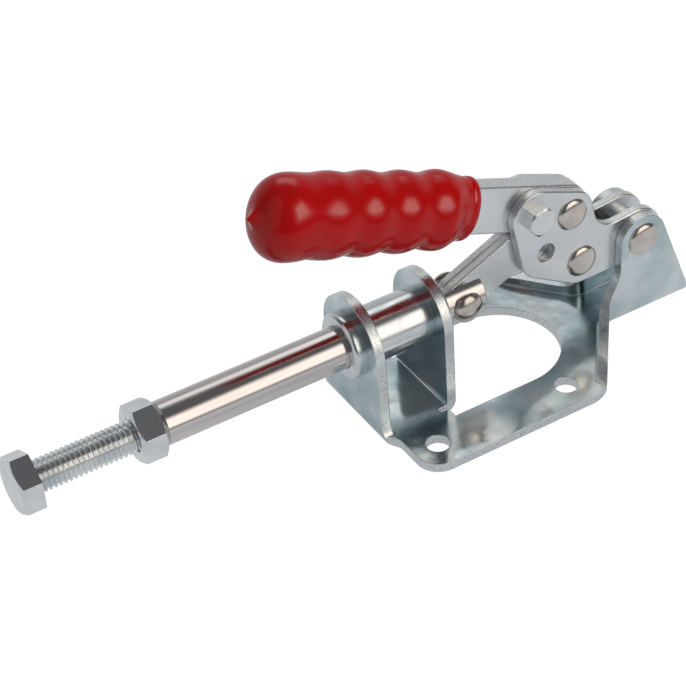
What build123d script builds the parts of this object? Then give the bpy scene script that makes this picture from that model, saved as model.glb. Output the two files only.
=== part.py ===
"""Push-pull toggle clamp with a sliding plunger, a two-plate rocker and a dipped vinyl grip.

Millimetres, +Z up.  +X runs from the pressing tip to the main pivot.  The origin is the
centre of the four mounting holes, on the underside of the base.
"""
from build123d import *

import os
from math import cos, radians, sin, sqrt, tan

# ---------------------------------------------------------------- driving dimensions
# pressed-steel base
SHEET = 2.5                     # thickness of the base, the ears and the uprights
BEND_INNER = 0.6                # inside radius of every fold
FLANGE_WIDTH = 58.5
HOLE_SPACING_X = 37.5
HOLE_SPACING_Y = 44.0
HOLE_DIAMETER = 6.0
FLANGE_CORNER_RADIUS = 6.0
REAR_CORNER_X = 25.8            # where the flange starts to narrow to the ears
UPRIGHT_FRONT_X = -28.5         # front face of the front upright
UPRIGHT_PITCH = 19.4            # front face to front face of the two uprights
UPRIGHT_RADIUS = 12.2
UPRIGHT_FOOT_FLARE = 1.6        # the front upright is this much wider each side at its foot
REAR_UPRIGHT_RADIUS = 11.5
RELIEF_WIDTH = 1.6              # notch cut in the floor beside the foot of the rear upright
RELIEF_DEPTH = 2.4
OPENING_WIDTH = 32.0
OPENING_REAR_X = 29.5
LIP_HEIGHT = 2.4                # low wall along the slanted rear edges, above the floor
LIP_RUN_UP = 6.0                # the lip rises from the rear corner to full height in this length
EAR_GAP = 10.0                  # clear width between the two ears
EAR_RADIUS = 6.7
EAR_REAR = 14.8                 # how far the foot of the ear reaches behind the pivot
EAR_START_X = 42.8              # where the slanted edge meets the ear
EAR_ELBOW_RADIUS = 3.0
EAR_HEEL_RADIUS = 2.0
SWEEP_LEAD = 5.0                # the lip starts to sweep up this far in front of the ear
SWEEP_MIDDLE = (0.6, 4.6)       # point on the sweep, behind the ear's start and above the lip
SWEEP_TOP = 7.0                 # the sweep ends this far below the pivot

# plunger line
AXIS_HEIGHT = 23.5              # plunger axis above the underside of the base
PLUNGER_DIAMETER = 10.8
PLUNGER_REACH = 51.8            # front of the upright to the front end of the plunger
PLUNGER_TAIL = 5.6              # plunger pin to the rear end of the plunger
PLUNGER_CHAMFER = 0.9
SLOT_FRONT = 12.5               # plunger pin to the blind end of the slot
TUBE_WALL = 1.6
COLLAR_RIM = 1.3                # the collar stands out this far from the tube
COLLAR_LENGTH = 3.2
COLLAR_ROUNDING = 1.2
ROLLED_RING_RIM = 3.1           # the ring rolled over behind the rear upright stands out this far
ROLLED_RING_LENGTH = 1.2
ROLLED_RING_ROUNDING = 0.7

# spindle bolt and lock nut
THREAD_DIAMETER = 8.0
THREAD_CHAMFER = 0.7
BOLT_LENGTH = 45.0              # under the head
BOLT_EXPOSED = 24.6             # thread seen between the head and the lock nut
HEX_ACROSS_FLATS = 13.0
BOLT_HEAD_HEIGHT = 5.3
NUT_HEIGHT = 6.5
NUT_COUNTERSINK = 0.45
BOLT_TURN = 32.0                # hexagon's turn about the plunger axis, degrees
NUT_TURN = 38.0
THREAD_BORE_DEPTH = 42.0

# linkage
PIVOT_X = 52.8                  # main pivot, on the plunger axis
CRANK = 17.1                    # main pivot to link pin
LINK_LENGTH = 34.0              # link pin to plunger pin
OVER_CENTRE = 0.9               # the link pin locks this far below the plunger axis
ROCKER_SHEET = 2.4
LINK_NOSE_RADIUS = 5.8
LINK_ELBOW = (15.6, 7.9)        # elbow of the link from the plunger pin, along X and Z
LINK_ELBOW_RADIUS = 5.0
LINK_EYE_RADIUS = 6.0
LINK_HOLLOW_RADIUS = 9.0        # inside of the elbow
HANDLE_RIVET_REACH = (-20.1, 14.4)   # handle rivet from the main pivot, along X and Z
HANDLE_SCREW_REACH = 11.0       # handle rivet to the screw
HANDLE_SCREW_RISE = 18.3        # direction of the screw above the X axis, degrees
SPARE_HOLE_REACH = 11.3         # handle rivet to the spare hole
SPARE_HOLE_TURN = 47.0          # direction of the spare hole below the X axis, degrees
SPARE_HOLE_DIAMETER = 5.2
ROCKER_SCREW_RADIUS = 6.9       # corners of the rocker, round the screw, rivet and spare hole
ROCKER_RIVET_RADIUS = 6.2
ROCKER_SPARE_RADIUS = 7.3
ROCKER_EYE_RADIUS = 6.6
ROCKER_TAIL_RADIUS = 7.3
ROCKER_NECK_RADIUS = 6.0

# handle
HANDLE_RISE = 20.5              # slope of the handle bar, degrees
BAR_WIDTH = 12.6
BAR_RAISE = 0.5                 # the bar's centre line passes this far above the handle rivet
BAR_END_SHIFT = 0.6             # centre of the bar's round end, in front of the handle rivet
BAR_IN_GRIP = 51.0
GRIP_START = 28.5               # handle rivet to the mouth of the grip
GRIP_MOUTH = (7.7, 4.9)         # half height and half width of the oval mouth
GRIP_FIRST_CREST = 7.1          # mouth to the crest of the first finger bulge
GRIP_PITCH = 10.3
GRIP_CRESTS = (9.6, 10.2, 10.35, 10.45)   # half height at each crest
GRIP_VALLEY = 0.5               # a valley is this much lower than the crests beside it
GRIP_FLATNESS = 0.89            # half width over half height
GRIP_BULB_RADIUS = 10.3
GRIP_BULB_LENGTH = 18.6         # last valley to the end
GRIP_NIPPLE_LENGTH = 1.8
GRIP_NIPPLE_RADIUS = 1.3

# fasteners
PIVOT_RIVET_DIAMETER = 6.0
PIVOT_HEAD_DIAMETER = 9.0
PIVOT_BUSH_DIAMETER = 8.4       # spacer between the two rocker tails
RIVET_DIAMETER = 5.0
RIVET_HEAD_DIAMETER = 8.6
HEAD_RISE = 1.4                 # height of the domed rivet heads
PLUNGER_HEAD_DIAMETER = 8.2
PLUNGER_HEAD_RISE = 2.1
PLUNGER_SEAT_DEPTH = 0.35       # flats milled on the plunger under the rivet heads
SCREW_DIAMETER = 4.0
SCREW_ACROSS_FLATS = 7.0
SCREW_HEAD_HEIGHT = 2.8
SCREW_NUT_HEIGHT = 3.2
SCREW_POINT = 1.0               # thread seen past the far nut
SCREW_TURN = 12.0
WASHER_DIAMETER = 9.0
WASHER_SHEET = 0.5
HEX_CROWN = 0.95                # face of a turned hexagon, as a share of its width across flats

# fits
RUNNING_FIT = 0.05              # radial, between a pin and the hole that turns on it
SLIDING_FIT = 0.1               # radial, between the plunger and its tube
SIDE_FIT = 0.1                  # between plates that turn against each other
SLOT_FIT = 0.2                  # each side of the link in the plunger's slot
GRIP_FIT = 0.05                 # between the grip and the bar inside it
EDGE_BREAK = 0.3                # bevel of sheared edges

# ---------------------------------------------------------------- derived places
BEND_OUTER = BEND_INNER + SHEET
FLANGE_FRONT_X = UPRIGHT_FRONT_X + BEND_OUTER
REAR_UPRIGHT_X = UPRIGHT_FRONT_X + UPRIGHT_PITCH
REAR_UPRIGHT_BACK_X = REAR_UPRIGHT_X + SHEET
OPENING_FRONT_X = REAR_UPRIGHT_X - BEND_INNER
UPRIGHT_FOOT_Y = UPRIGHT_RADIUS + UPRIGHT_FOOT_FLARE
TRAY_FRONT_X = REAR_CORNER_X - 2 * BEND_OUTER
WALL_TOP = AXIS_HEIGHT + EAR_RADIUS
EAR_OUTER_Y = EAR_GAP / 2 + SHEET
EAR_END_X = PIVOT_X + EAR_REAR
SLANT = (FLANGE_WIDTH / 2 - EAR_OUTER_Y) / (EAR_START_X - REAR_CORNER_X)
ROCKER_OUTER_Y = EAR_GAP / 2 - SIDE_FIT
ROCKER_INNER_Y = ROCKER_OUTER_Y - ROCKER_SHEET
BAR_THICKNESS = 2 * ROCKER_INNER_Y
LINK_SHEET = ROCKER_INNER_Y - SIDE_FIT   # two link plates fill the gap between the rockers
TUBE_BORE = PLUNGER_DIAMETER + 2 * SLIDING_FIT
TUBE_DIAMETER = TUBE_BORE + 2 * TUBE_WALL
COLLAR_DIAMETER = TUBE_DIAMETER + 2 * COLLAR_RIM
ROLLED_RING_DIAMETER = TUBE_DIAMETER + 2 * ROLLED_RING_RIM

# centres in side view, along X and Z
PIVOT = Vector(PIVOT_X, AXIS_HEIGHT)
LINK_PIN = PIVOT + Vector(-sqrt(CRANK**2 - OVER_CENTRE**2), -OVER_CENTRE)
PLUNGER_PIN = Vector(LINK_PIN.X - sqrt(LINK_LENGTH**2 - OVER_CENTRE**2), AXIS_HEIGHT)
HANDLE_RIVET = PIVOT + Vector(*HANDLE_RIVET_REACH)
HANDLE_SCREW = HANDLE_RIVET + Vector(-HANDLE_SCREW_REACH, 0).rotate(Axis.Z, -HANDLE_SCREW_RISE)
SPARE_HOLE = HANDLE_RIVET + Vector(-SPARE_HOLE_REACH, 0).rotate(Axis.Z, SPARE_HOLE_TURN)

PLUNGER_FRONT_X = UPRIGHT_FRONT_X - PLUNGER_REACH
PLUNGER_REAR_X = PLUNGER_PIN.X + PLUNGER_TAIL
PLUNGER_SEAT_Y = PLUNGER_DIAMETER / 2 - PLUNGER_SEAT_DEPTH
SLOT_WIDTH = 2 * (LINK_SHEET + SLOT_FIT)
NUT_FRONT_X = PLUNGER_FRONT_X - NUT_HEIGHT
BOLT_SHOULDER_X = NUT_FRONT_X - BOLT_EXPOSED
BORE_DIAMETER = THREAD_DIAMETER + 2 * RUNNING_FIT
SCREW_LENGTH = 2 * ROCKER_OUTER_Y + WASHER_SHEET + SCREW_NUT_HEIGHT + SCREW_POINT

AXIS_LINE = Axis((0, 0, AXIS_HEIGHT), (1, 0, 0))
AXIS_PLANE = Plane(origin=(0, 0, AXIS_HEIGHT), x_dir=(1, 0, 0), z_dir=(0, -1, 0))
SIDE_PLANE = Plane.XZ           # local x is X, local y is Z, and the normal is -Y
BOLT_PLANE = Plane(origin=(BOLT_SHOULDER_X, 0, AXIS_HEIGHT), x_dir=(0, 1, 0), z_dir=(-1, 0, 0))
# bar's centre line, towards the grip; the normal is -Y and local y points down
BAR_PLANE = Plane(origin=(HANDLE_RIVET.X + BAR_RAISE * sin(radians(HANDLE_RISE)), 0,
                          HANDLE_RIVET.Y + BAR_RAISE * cos(radians(HANDLE_RISE))),
                  x_dir=(-cos(radians(HANDLE_RISE)), 0, sin(radians(HANDLE_RISE))), z_dir=(0, -1, 0))
BAR_REACH = GRIP_START + BAR_IN_GRIP

os.makedirs("parts", exist_ok=True)


# ---------------------------------------------------------------- shared shapes
def across(x):
    """Plane square to the plunger axis at x, with its local x along Y and local y along Z."""
    return Plane(origin=(x, 0, AXIS_HEIGHT), x_dir=(0, 1, 0), z_dir=(1, 0, 0))


def lengthwise(plane):
    """Plane through the axis of a turned piece, with local y along that plane's normal."""
    return Plane(origin=plane.origin, x_dir=plane.x_dir, z_dir=plane.x_dir.cross(plane.z_dir))


def screw_plane(y, way):
    """Plane square to the handle screw at y, facing -Y (way -1) or +Y (way 1)."""
    return Plane(origin=(HANDLE_SCREW.X, y, HANDLE_SCREW.Y), x_dir=(1, 0, 0), z_dir=(0, way, 0))


def rivet_plane(centre):
    """Plane through a rivet's axis, with local x along X and local y along Y."""
    return Plane(origin=(centre.X, 0, centre.Y), x_dir=(1, 0, 0), z_dir=(0, 0, 1))


def cross_axis(centre):
    """Axis of a rivet or pivot, along Y."""
    return Axis((centre.X, 0, centre.Y), (0, 1, 0))


def wrap(*discs):
    """Outline pulled tight round some discs, each given as a centre and a radius."""
    with BuildSketch() as outline:
        for centre, radius in discs:
            with Locations((centre.X, centre.Y)):
                Circle(radius)
        make_hull()
    return outline.sketch


def rivet_outline(pin_diameter, head_diameter, head_rise, face, root):
    """Half section of a rivet's near side: shank from root to face, and the domed head."""
    head_radius = head_diameter / 2
    with BuildSketch() as outline:
        with BuildLine():
            EllipticalCenterArc((0, -face), head_radius, head_rise, start_angle=270, arc_size=90)
            Polyline((head_radius, -face), (pin_diameter / 2, -face), (pin_diameter / 2, -root),
                     (0, -root), (0, -face - head_rise))
        make_face()
    return outline.sketch


def head_turning(across_flats, height):
    """Half section that a bolt head's hexagon is turned to, outwards from its seat."""
    corner = across_flats / sqrt(3)
    crown = across_flats / 2 * HEX_CROWN
    drop = (corner - crown) * tan(radians(30))
    with BuildSketch() as outline:
        with BuildLine():
            Polyline((0, 0), (corner, 0), (corner, height - drop), (crown, height), (0, height),
                     close=True)
        make_face()
    return outline.sketch


def nut_turning(across_flats, height, bore):
    """Half section that a nut's hexagon is turned and bored to."""
    corner = across_flats / sqrt(3)
    crown = across_flats / 2 * HEX_CROWN
    drop = (corner - crown) * tan(radians(30))
    rim = bore / 2 + NUT_COUNTERSINK
    with BuildSketch() as outline:
        with BuildLine():
            Polyline((rim, 0), (crown, 0), (corner, drop), (corner, height - drop), (crown, height),
                     (rim, height), (bore / 2, height - NUT_COUNTERSINK), (bore / 2, NUT_COUNTERSINK),
                     close=True)
        make_face()
    return outline.sketch


# ---------------------------------------------------------------- base
def tray_outline():
    """Plan of the rear half, whose slanted edges run into the ears, left long at both ends."""
    front = TRAY_FRONT_X - 2 * SHEET
    front_y = FLANGE_WIDTH / 2 + SLANT * (REAR_CORNER_X - front)
    back = EAR_END_X + 2 * SHEET
    with BuildSketch() as outline:
        with BuildLine():
            Polyline((front, -front_y), (EAR_START_X, -EAR_OUTER_Y), (back, -EAR_OUTER_Y),
                     (back, EAR_OUTER_Y), (EAR_START_X, EAR_OUTER_Y), (front, front_y), close=True)
        make_face()
        elbows = outline.vertices().filter_by(lambda v: abs(v.X - EAR_START_X) < 1e-6)
        fillet(elbows, EAR_ELBOW_RADIUS)
    return outline.sketch


def wall_outline():
    """Side view of the rear half: floor, low lip, sweep up into the ear, and the ear."""
    lip_top = SHEET + LIP_HEIGHT
    ear_front_x = PIVOT_X - EAR_RADIUS
    heel = Vector(EAR_END_X, BEND_OUTER)
    # straight rear edge of the ear, from the heel to where it touches the crown
    lean = EAR_RADIUS / (heel - PIVOT).length
    along = (heel - PIVOT).normalized()
    touch = PIVOT + (along * lean + Vector(-along.Y, along.X) * sqrt(1 - lean**2)) * EAR_RADIUS
    with BuildSketch() as outline:
        with BuildLine():
            floor = Line((TRAY_FRONT_X, SHEET), (REAR_CORNER_X - BEND_INNER, SHEET))
            rise = Spline(floor @ 1, (REAR_CORNER_X + LIP_RUN_UP, lip_top), tangents=((1, 0), (1, 0)))
            lip = Line(rise @ 1, (EAR_START_X - SWEEP_LEAD, lip_top))
            sweep = Spline(lip @ 1, (EAR_START_X + SWEEP_MIDDLE[0], lip_top + SWEEP_MIDDLE[1]),
                           (ear_front_x, AXIS_HEIGHT - SWEEP_TOP), tangents=((1, 0), (0, 1)))
            front = Line(sweep @ 1, (ear_front_x, AXIS_HEIGHT))
            crown = RadiusArc(front @ 1, touch, EAR_RADIUS)
            Polyline(crown @ 1, heel, (EAR_END_X, 0), (TRAY_FRONT_X, 0), floor @ 0)
        make_face()
        fillet(outline.vertices().group_by(Axis.Y)[0].sort_by(Axis.X)[-1], EAR_HEEL_RADIUS)
    return outline.sketch


def fold_lines(edges, height):
    """Edges of the tray at a height, without its open front and rear ends."""
    level = edges.filter_by(lambda edge: abs(edge.center().Z - height) < 1e-3)
    return level.filter_by(lambda edge: abs((edge % 0.5).X) > 0.1)


with BuildPart() as front_fold:
    # fold between the flange and the front upright, widening in a curve into the flange
    with BuildSketch(SIDE_PLANE):
        with Locations((FLANGE_FRONT_X, BEND_OUTER)):
            Circle(BEND_OUTER)
            Circle(BEND_INNER, mode=Mode.SUBTRACT)
            Rectangle(BEND_OUTER, BEND_OUTER, align=(Align.MAX, Align.MAX), mode=Mode.INTERSECT)
    extrude(amount=UPRIGHT_FOOT_Y + BEND_OUTER, both=True)
    with BuildSketch():
        with Locations((UPRIGHT_FRONT_X, UPRIGHT_FOOT_Y + BEND_OUTER),
                       (UPRIGHT_FRONT_X, -UPRIGHT_FOOT_Y - BEND_OUTER)):
            Circle(BEND_OUTER)
    extrude(amount=BEND_OUTER, mode=Mode.SUBTRACT)

with BuildPart() as base_frame:
    # tray with slanted walls and ears, rounded inside and out where the sheet is folded
    with BuildSketch():
        add(tray_outline())
    extrude(amount=WALL_TOP)
    fillet(fold_lines(base_frame.edges(), 0), BEND_OUTER)
    with BuildSketch(Plane.XY.offset(SHEET)):
        add(tray_outline())
        offset(amount=-SHEET)
    extrude(amount=WALL_TOP, mode=Mode.SUBTRACT)
    fillet(fold_lines(base_frame.edges(), SHEET), BEND_INNER)
    with BuildSketch(SIDE_PLANE):
        add(wall_outline())
    extrude(amount=FLANGE_WIDTH / 2, both=True, mode=Mode.INTERSECT)

    # flat flange in front of the tray
    with BuildSketch() as flange:
        with Locations((FLANGE_FRONT_X, 0)):
            Rectangle(TRAY_FRONT_X - FLANGE_FRONT_X, FLANGE_WIDTH, align=(Align.MIN, Align.CENTER))
        fillet(flange.vertices().group_by(Axis.X)[0], FLANGE_CORNER_RADIUS)
    extrude(amount=SHEET)

    # opening that the rear upright was folded out of, its relief notches and the bolt holes
    opening_centre_x = OPENING_REAR_X - OPENING_WIDTH / 2
    with BuildSketch():
        with Locations((opening_centre_x, 0)):
            Circle(OPENING_WIDTH / 2)
        with Locations((OPENING_FRONT_X, 0)):
            Rectangle(opening_centre_x - OPENING_FRONT_X, OPENING_WIDTH, align=(Align.MIN, Align.CENTER))
            with GridLocations(0, 2 * REAR_UPRIGHT_RADIUS + RELIEF_WIDTH, 1, 2):
                SlotOverall(2 * RELIEF_DEPTH, RELIEF_WIDTH)
        with GridLocations(HOLE_SPACING_X, HOLE_SPACING_Y, 2, 2):
            Circle(HOLE_DIAMETER / 2)
    extrude(amount=SHEET, mode=Mode.SUBTRACT)

    # front upright, with a foot that flares into the fold
    add(front_fold.part)
    with BuildSketch(across(UPRIGHT_FRONT_X)):
        Circle(UPRIGHT_RADIUS)
        foot_z = BEND_OUTER - AXIS_HEIGHT
        with BuildLine():
            near = Spline((UPRIGHT_RADIUS, 0), (UPRIGHT_RADIUS + UPRIGHT_FOOT_FLARE / 4, foot_z * 0.7),
                          (UPRIGHT_FOOT_Y, foot_z), tangents=((0, -1), (1, -1)))
            far = Spline((-UPRIGHT_RADIUS, 0), (-UPRIGHT_RADIUS - UPRIGHT_FOOT_FLARE / 4, foot_z * 0.7),
                         (-UPRIGHT_FOOT_Y, foot_z), tangents=((0, -1), (-1, -1)))
            Line(near @ 0, far @ 0)
            Line(near @ 1, far @ 1)
        make_face()
    extrude(amount=SHEET)

    # rear upright, folded up from the front of the opening
    with BuildSketch(across(REAR_UPRIGHT_X)):
        Circle(REAR_UPRIGHT_RADIUS)
        Rectangle(2 * REAR_UPRIGHT_RADIUS, AXIS_HEIGHT - BEND_OUTER, align=(Align.CENTER, Align.MAX))
    extrude(amount=SHEET)
    with BuildSketch(SIDE_PLANE):
        with Locations((OPENING_FRONT_X, BEND_OUTER)):
            Circle(BEND_OUTER)
            Circle(BEND_INNER, mode=Mode.SUBTRACT)
            Rectangle(BEND_OUTER, BEND_OUTER, align=(Align.MIN, Align.MAX), mode=Mode.INTERSECT)
    extrude(amount=REAR_UPRIGHT_RADIUS, both=True)

    # seat of the guide tube through both uprights
    with BuildSketch(across(UPRIGHT_FRONT_X)):
        Circle(TUBE_DIAMETER / 2)
    extrude(amount=REAR_UPRIGHT_BACK_X - UPRIGHT_FRONT_X, mode=Mode.SUBTRACT)
    # seat of the main pivot through both ears
    with BuildSketch(SIDE_PLANE):
        with Locations((PIVOT.X, PIVOT.Y)):
            Circle(PIVOT_RIVET_DIAMETER / 2)
    extrude(amount=EAR_OUTER_Y, both=True, mode=Mode.SUBTRACT)

base_frame.part.label = "base_frame"
export_step(base_frame.part, "parts/base_frame.step")

# ---------------------------------------------------------------- guide tube
with BuildPart() as guide_tube:
    with BuildSketch(AXIS_PLANE):
        with BuildLine():
            front = UPRIGHT_FRONT_X - COLLAR_LENGTH
            back = REAR_UPRIGHT_BACK_X + ROLLED_RING_LENGTH
            Polyline((front, TUBE_BORE / 2), (front, COLLAR_DIAMETER / 2),
                     (UPRIGHT_FRONT_X, COLLAR_DIAMETER / 2), (UPRIGHT_FRONT_X, TUBE_DIAMETER / 2),
                     (REAR_UPRIGHT_BACK_X, TUBE_DIAMETER / 2),
                     (REAR_UPRIGHT_BACK_X, ROLLED_RING_DIAMETER / 2),
                     (back, ROLLED_RING_DIAMETER / 2), (back, TUBE_BORE / 2), close=True)
        make_face()
    revolve(axis=AXIS_LINE)
    rims = guide_tube.edges().filter_by(GeomType.CIRCLE)
    collar_rims = rims.filter_by(lambda edge: abs(edge.radius - COLLAR_DIAMETER / 2) < 1e-3)
    fillet(collar_rims.sort_by(Axis.X)[0], COLLAR_ROUNDING)
    ring_rims = rims.filter_by(lambda edge: abs(edge.radius - ROLLED_RING_DIAMETER / 2) < 1e-3)
    fillet(ring_rims.sort_by(Axis.X)[-1], ROLLED_RING_ROUNDING)

guide_tube.part.label = "guide_tube"
export_step(guide_tube.part, "parts/guide_tube.step")

# ---------------------------------------------------------------- plunger and its rivet
with BuildPart() as plunger:
    with BuildSketch(across(PLUNGER_FRONT_X)):
        Circle(PLUNGER_DIAMETER / 2)
    extrude(amount=PLUNGER_REAR_X - PLUNGER_FRONT_X)
    chamfer(plunger.faces().sort_by(Axis.X)[0].edges(), PLUNGER_CHAMFER)
    chamfer(plunger.faces().sort_by(Axis.X)[-1].edges(), EDGE_BREAK)
    with BuildSketch(across(PLUNGER_FRONT_X)):
        Circle(BORE_DIAMETER / 2)
    extrude(amount=THREAD_BORE_DEPTH, mode=Mode.SUBTRACT)
    # slot that takes the nose of the link
    with BuildSketch(SIDE_PLANE):
        with Locations((PLUNGER_PIN.X - SLOT_FRONT, AXIS_HEIGHT)):
            Rectangle(SLOT_FRONT + 2 * PLUNGER_TAIL, 2 * PLUNGER_DIAMETER,
                      align=(Align.MIN, Align.CENTER))
    extrude(amount=SLOT_WIDTH / 2, both=True, mode=Mode.SUBTRACT)
    # hole for the rivet, and a flat seat for its head on each cheek
    with BuildSketch(SIDE_PLANE):
        with Locations((PLUNGER_PIN.X, PLUNGER_PIN.Y)):
            Circle(RIVET_DIAMETER / 2)
    extrude(amount=PLUNGER_DIAMETER, both=True, mode=Mode.SUBTRACT)
    for side in (1, -1):
        with BuildSketch(SIDE_PLANE.offset(side * PLUNGER_SEAT_Y)):
            with Locations((PLUNGER_PIN.X, PLUNGER_PIN.Y)):
                Circle(PLUNGER_HEAD_DIAMETER / 2)
        extrude(amount=side * PLUNGER_DIAMETER, mode=Mode.SUBTRACT)

plunger.part.label = "plunger"
export_step(plunger.part, "parts/plunger.step")

with BuildPart() as plunger_rivet_near:
    with BuildSketch(rivet_plane(PLUNGER_PIN)):
        add(rivet_outline(RIVET_DIAMETER, PLUNGER_HEAD_DIAMETER, PLUNGER_HEAD_RISE,
                          PLUNGER_SEAT_Y, SLOT_WIDTH / 2))
    revolve(axis=cross_axis(PLUNGER_PIN))

plunger_rivet_near.part.label = "plunger_rivet_near"
export_step(plunger_rivet_near.part, "parts/plunger_rivet_near.step")

with BuildPart() as plunger_rivet_far:
    mirror(plunger_rivet_near.part, about=SIDE_PLANE)

plunger_rivet_far.part.label = "plunger_rivet_far"
export_step(plunger_rivet_far.part, "parts/plunger_rivet_far.step")

# ---------------------------------------------------------------- spindle bolt and lock nut
with BuildPart() as spindle_bolt:
    with BuildSketch(BOLT_PLANE):
        RegularPolygon(HEX_ACROSS_FLATS / 2, 6, major_radius=False, rotation=-BOLT_TURN)
    extrude(amount=BOLT_HEAD_HEIGHT)
    with BuildSketch(lengthwise(BOLT_PLANE)):
        add(head_turning(HEX_ACROSS_FLATS, BOLT_HEAD_HEIGHT))
    revolve(axis=AXIS_LINE, mode=Mode.INTERSECT)
    with BuildSketch(across(BOLT_SHOULDER_X)):
        Circle(THREAD_DIAMETER / 2)
    extrude(amount=BOLT_LENGTH)
    chamfer(spindle_bolt.faces().sort_by(Axis.X)[-1].edges(), THREAD_CHAMFER)

spindle_bolt.part.label = "spindle_bolt"
export_step(spindle_bolt.part, "parts/spindle_bolt.step")

with BuildPart() as lock_nut:
    with BuildSketch(across(NUT_FRONT_X)):
        RegularPolygon(HEX_ACROSS_FLATS / 2, 6, major_radius=False, rotation=NUT_TURN)
    extrude(amount=NUT_HEIGHT)
    with BuildSketch(lengthwise(across(NUT_FRONT_X))):
        add(nut_turning(HEX_ACROSS_FLATS, NUT_HEIGHT, BORE_DIAMETER))
    revolve(axis=AXIS_LINE, mode=Mode.INTERSECT)

lock_nut.part.label = "lock_nut"
export_step(lock_nut.part, "parts/lock_nut.step")


# ---------------------------------------------------------------- link, two stacked plates
def link_outline():
    """Side view of the link: a nose, an elbow and an eye, with a rounded hollow below."""
    elbow = PLUNGER_PIN + Vector(*LINK_ELBOW)
    with BuildSketch() as outline:
        add(wrap((PLUNGER_PIN, LINK_NOSE_RADIUS), (elbow, LINK_ELBOW_RADIUS)))
        add(wrap((elbow, LINK_ELBOW_RADIUS), (LINK_PIN, LINK_EYE_RADIUS)))
        below = outline.vertices().filter_by(lambda v: v.Y < elbow.Y - LINK_ELBOW_RADIUS / 2)
        hollow = below.filter_by(lambda v: abs(v.X - elbow.X) < LINK_ELBOW_RADIUS)
        fillet(hollow, LINK_HOLLOW_RADIUS)
        with Locations((PLUNGER_PIN.X, PLUNGER_PIN.Y), (LINK_PIN.X, LINK_PIN.Y)):
            Circle(RIVET_DIAMETER / 2 + RUNNING_FIT, mode=Mode.SUBTRACT)
    return outline.sketch


def plate_rims(plate):
    """Sheared outer rims of a plate, on both of its faces."""
    return [edge for face in plate.faces().filter_by(Axis.Y) for edge in face.outer_wire().edges()]


with BuildPart() as link_near:
    with BuildSketch(SIDE_PLANE):
        add(link_outline())
    extrude(amount=LINK_SHEET)
    chamfer(plate_rims(link_near), EDGE_BREAK)

link_near.part.label = "link_near"
export_step(link_near.part, "parts/link_near.step")

with BuildPart() as link_far:
    mirror(link_near.part, about=SIDE_PLANE)

link_far.part.label = "link_far"
export_step(link_far.part, "parts/link_far.step")


# ---------------------------------------------------------------- rocker, two mirrored plates
def rocker_outline():
    """Side view of a rocker plate: a four-cornered body and a necked tail to the pivot."""
    with BuildSketch() as outline:
        add(wrap((HANDLE_SCREW, ROCKER_SCREW_RADIUS), (HANDLE_RIVET, ROCKER_RIVET_RADIUS),
                 (SPARE_HOLE, ROCKER_SPARE_RADIUS), (LINK_PIN, ROCKER_EYE_RADIUS)))
        add(wrap((LINK_PIN, ROCKER_EYE_RADIUS), (PIVOT, ROCKER_TAIL_RADIUS)))
        above = outline.vertices().filter_by(lambda v: v.Y > AXIS_HEIGHT + ROCKER_EYE_RADIUS / 2)
        neck = above.filter_by(lambda v: LINK_PIN.X < v.X < PIVOT.X - 2)
        fillet(neck, ROCKER_NECK_RADIUS)
        with Locations((PIVOT.X, PIVOT.Y)):
            Circle(PIVOT_RIVET_DIAMETER / 2 + RUNNING_FIT, mode=Mode.SUBTRACT)
        with Locations((LINK_PIN.X, LINK_PIN.Y), (HANDLE_RIVET.X, HANDLE_RIVET.Y)):
            Circle(RIVET_DIAMETER / 2, mode=Mode.SUBTRACT)
        with Locations((HANDLE_SCREW.X, HANDLE_SCREW.Y)):
            Circle(SCREW_DIAMETER / 2, mode=Mode.SUBTRACT)
        with Locations((SPARE_HOLE.X, SPARE_HOLE.Y)):
            Circle(SPARE_HOLE_DIAMETER / 2, mode=Mode.SUBTRACT)
    return outline.sketch


with BuildPart() as rocker_near:
    with BuildSketch(SIDE_PLANE.offset(ROCKER_INNER_Y)):
        add(rocker_outline())
    extrude(amount=ROCKER_SHEET)
    chamfer(plate_rims(rocker_near), EDGE_BREAK)

rocker_near.part.label = "rocker_near"
export_step(rocker_near.part, "parts/rocker_near.step")

with BuildPart() as rocker_far:
    mirror(rocker_near.part, about=SIDE_PLANE)

rocker_far.part.label = "rocker_far"
export_step(rocker_far.part, "parts/rocker_far.step")

# ---------------------------------------------------------------- handle bar
with BuildPart() as handle_bar:
    with BuildSketch(BAR_PLANE):
        with Locations((BAR_END_SHIFT, 0)):
            Circle(BAR_WIDTH / 2)
            Rectangle(BAR_REACH - BAR_END_SHIFT, BAR_WIDTH, align=(Align.MIN, Align.CENTER))
        with Locations((BAR_REACH, 0)):
            Circle(BAR_WIDTH / 2)
    extrude(amount=BAR_THICKNESS / 2, both=True)
    chamfer(handle_bar.faces().filter_by(Axis.Y).edges(), EDGE_BREAK)
    with BuildSketch(SIDE_PLANE):
        with Locations((HANDLE_RIVET.X, HANDLE_RIVET.Y)):
            Circle(RIVET_DIAMETER / 2)
        with Locations((HANDLE_SCREW.X, HANDLE_SCREW.Y)):
            Circle(SCREW_DIAMETER / 2)
    extrude(amount=BAR_THICKNESS / 2, both=True, mode=Mode.SUBTRACT)

handle_bar.part.label = "handle_bar"
export_step(handle_bar.part, "parts/handle_bar.step")


# ---------------------------------------------------------------- grip
def grip_section(distance, half_height, half_width):
    """Oval section of the grip, a distance along the bar from the handle rivet."""
    origin = BAR_PLANE.from_local_coords(Vector(distance, 0, 0))
    with BuildSketch(Plane(origin=origin, x_dir=(0, 1, 0), z_dir=BAR_PLANE.x_dir)) as section:
        Ellipse(half_width, half_height)
    return section.sketch


def grip_oval(distance, half_height):
    """Oval section of the grip's finger bulges and bulb."""
    return grip_section(distance, half_height, half_height * GRIP_FLATNESS)


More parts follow.
